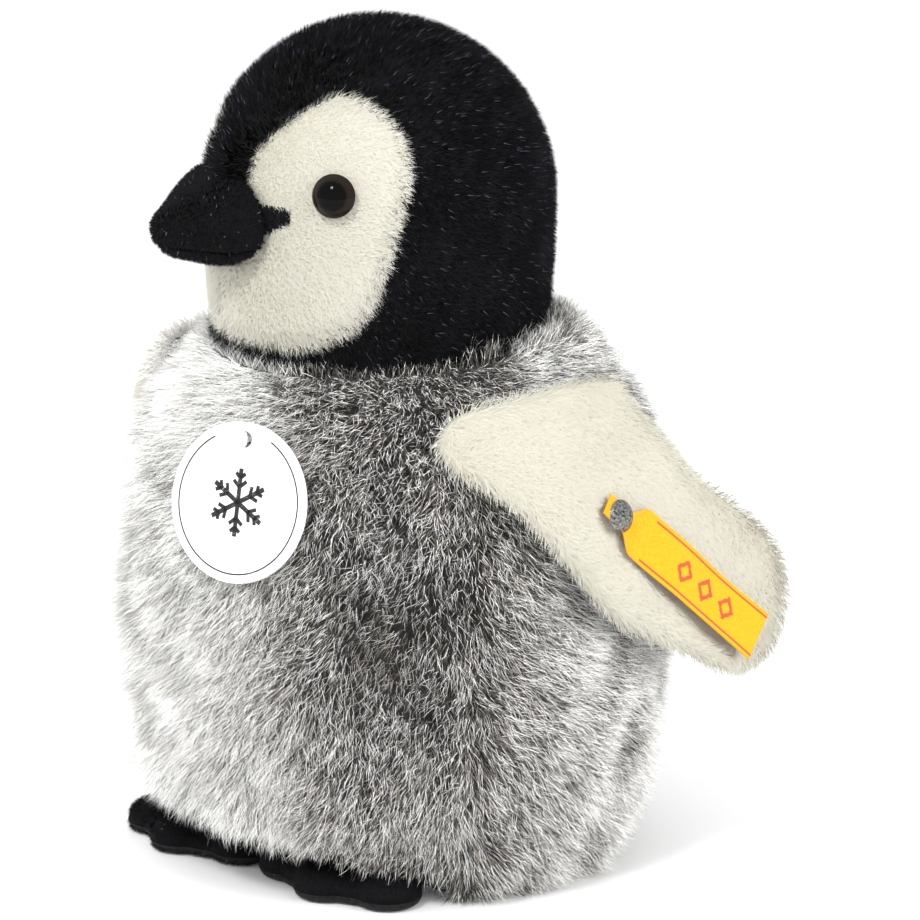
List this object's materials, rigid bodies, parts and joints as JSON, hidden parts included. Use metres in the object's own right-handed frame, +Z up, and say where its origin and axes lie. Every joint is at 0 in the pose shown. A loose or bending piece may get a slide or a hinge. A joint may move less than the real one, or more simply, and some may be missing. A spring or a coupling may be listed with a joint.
{
  "type": "plush penguin",
  "caption": "Soft toy baby penguin with a grey long-pile body, a black and cream head, cream flippers, a cloth beak and flat webbed feet; it sits upright on a flat base.",
  "frame": {"origin": "on the floor, at the middle of the body's flat base", "axes": "+Z up; the toy faces -Y; +X is the toy's own left"},
  "size_m": [0.1326, 0.1051, 0.16],
  "materials": {
    "grey_long_pile": "long woven pile, charcoal roots with off-white tips",
    "base_fabric": "plain dark grey woven cloth",
    "stuffing_fibre": "loose polyester fibre",
    "pellet_cloth": "thin cotton bag of plastic pellets",
    "clear_nylon": "clear moulded nylon",
    "black_short_pile": "dense short plush",
    "cream_short_pile": "dense short plush",
    "black_velour": "velour",
    "eye_dome": "polished clear dome",
    "eye_back": "dark brown ring round a black pupil",
    "eye_fixing": "moulded",
    "rivet_metal": "satin, softly worn",
    "yellow_ribbon": "satin-woven ribbon",
    "white_card": "smooth coated card"
  },
  "bodies": {
    "body": {"belly_panel": "grey_long_pile", "back_left_panel": "grey_long_pile", "back_right_panel": "grey_long_pile", "base_gusset": "base_fabric", "body_stuffing": "stuffing_fibre", "pellet_bag": "pellet_cloth", "tag_pin": "clear_nylon"},
    "neck": {"neck_stuffing": "stuffing_fibre"},
    "head": {"forehead_gusset": "black_short_pile", "head_left_panel": "black_short_pile", "head_right_panel": "black_short_pile", "left_cheek_panel": "cream_short_pile", "right_cheek_panel": "cream_short_pile", "head_stuffing": "stuffing_fibre", "upper_beak": "black_velour", "lower_beak": "black_velour", "beak_stuffing": "stuffing_fibre", "left_eye_lens": "eye_dome", "left_iris": "eye_back", "left_eye_shank": "eye_fixing", "left_eye_washer": "eye_fixing", "right_eye_lens": "eye_dome", "right_iris": "eye_back", "right_eye_shank": "eye_fixing", "right_eye_washer": "eye_fixing"},
    "left_flipper": {"left_flipper_front": "cream_short_pile", "left_flipper_back": "grey_long_pile", "left_flipper_wadding": "stuffing_fibre", "button_cap": "rivet_metal", "button_washer": "rivet_metal", "label_root": "yellow_ribbon"},
    "right_flipper": {"right_flipper_front": "cream_short_pile", "right_flipper_back": "grey_long_pile", "right_flipper_wadding": "stuffing_fibre"},
    "label": {"label_ribbon": "yellow_ribbon"},
    "tag": {"swing_tag": "white_card"},
    "left_foot": {"left_foot_top": "black_velour", "left_foot_sole": "black_velour", "left_foot_wadding": "stuffing_fibre"},
    "right_foot": {"right_foot_top": "black_velour", "right_foot_sole": "black_velour", "right_foot_wadding": "stuffing_fibre"}
  },
  "joints": [
    {"name": "head_turn", "type": "hinge", "parent": "body", "child": "neck", "pos_m": [0, -0.004, 0.1], "axis": [0, 0, 1], "range_deg": [-10, 40], "stiffness_Nm_per_rad": 0.01},
    {"name": "head_nod", "type": "hinge", "parent": "neck", "child": "head", "pos_m": [0, -0.004, 0.127], "axis": [0.9397, -0.342, 0], "range_deg": [-8, 10], "stiffness_Nm_per_rad": 0.05},
    {"name": "left_flipper_lift", "type": "hinge", "parent": "body", "child": "left_flipper", "pos_m": [0.0455, -0.005, 0.094], "axis": [0, -1, 0], "range_deg": [0, 55], "stiffness_Nm_per_rad": 0.002},
    {"name": "right_flipper_lift", "type": "hinge", "parent": "body", "child": "right_flipper", "pos_m": [-0.0455, -0.005, 0.094], "axis": [0, 1, 0], "range_deg": [0, 55], "stiffness_Nm_per_rad": 0.002},
    {"name": "label_lift", "type": "hinge", "parent": "left_flipper", "child": "label", "pos_m": [0.05907, 0.00301, 0.07161], "axis": [0.1711, -0.7071, -0.6861], "range_deg": [0, 60], "stiffness_Nm_per_rad": 0.0001},
    {"name": "tag_swing", "type": "hinge", "parent": "body", "child": "tag", "pos_m": [0.00999, -0.04702, 0.08858], "axis": [-0.9781, -0.2079, 0], "range_deg": [0, 35]},
    {"name": "left_foot_flex", "type": "hinge", "parent": "body", "child": "left_foot", "pos_m": [0.0145, -0.0185, 0.003], "axis": [-1, 0, 0], "range_deg": [0, 10], "stiffness_Nm_per_rad": 0.01},
    {"name": "right_foot_flex", "type": "hinge", "parent": "body", "child": "right_foot", "pos_m": [-0.0235, -0.0185, 0.003], "axis": [-1, 0, 0], "range_deg": [0, 10], "stiffness_Nm_per_rad": 0.01}
  ]
}
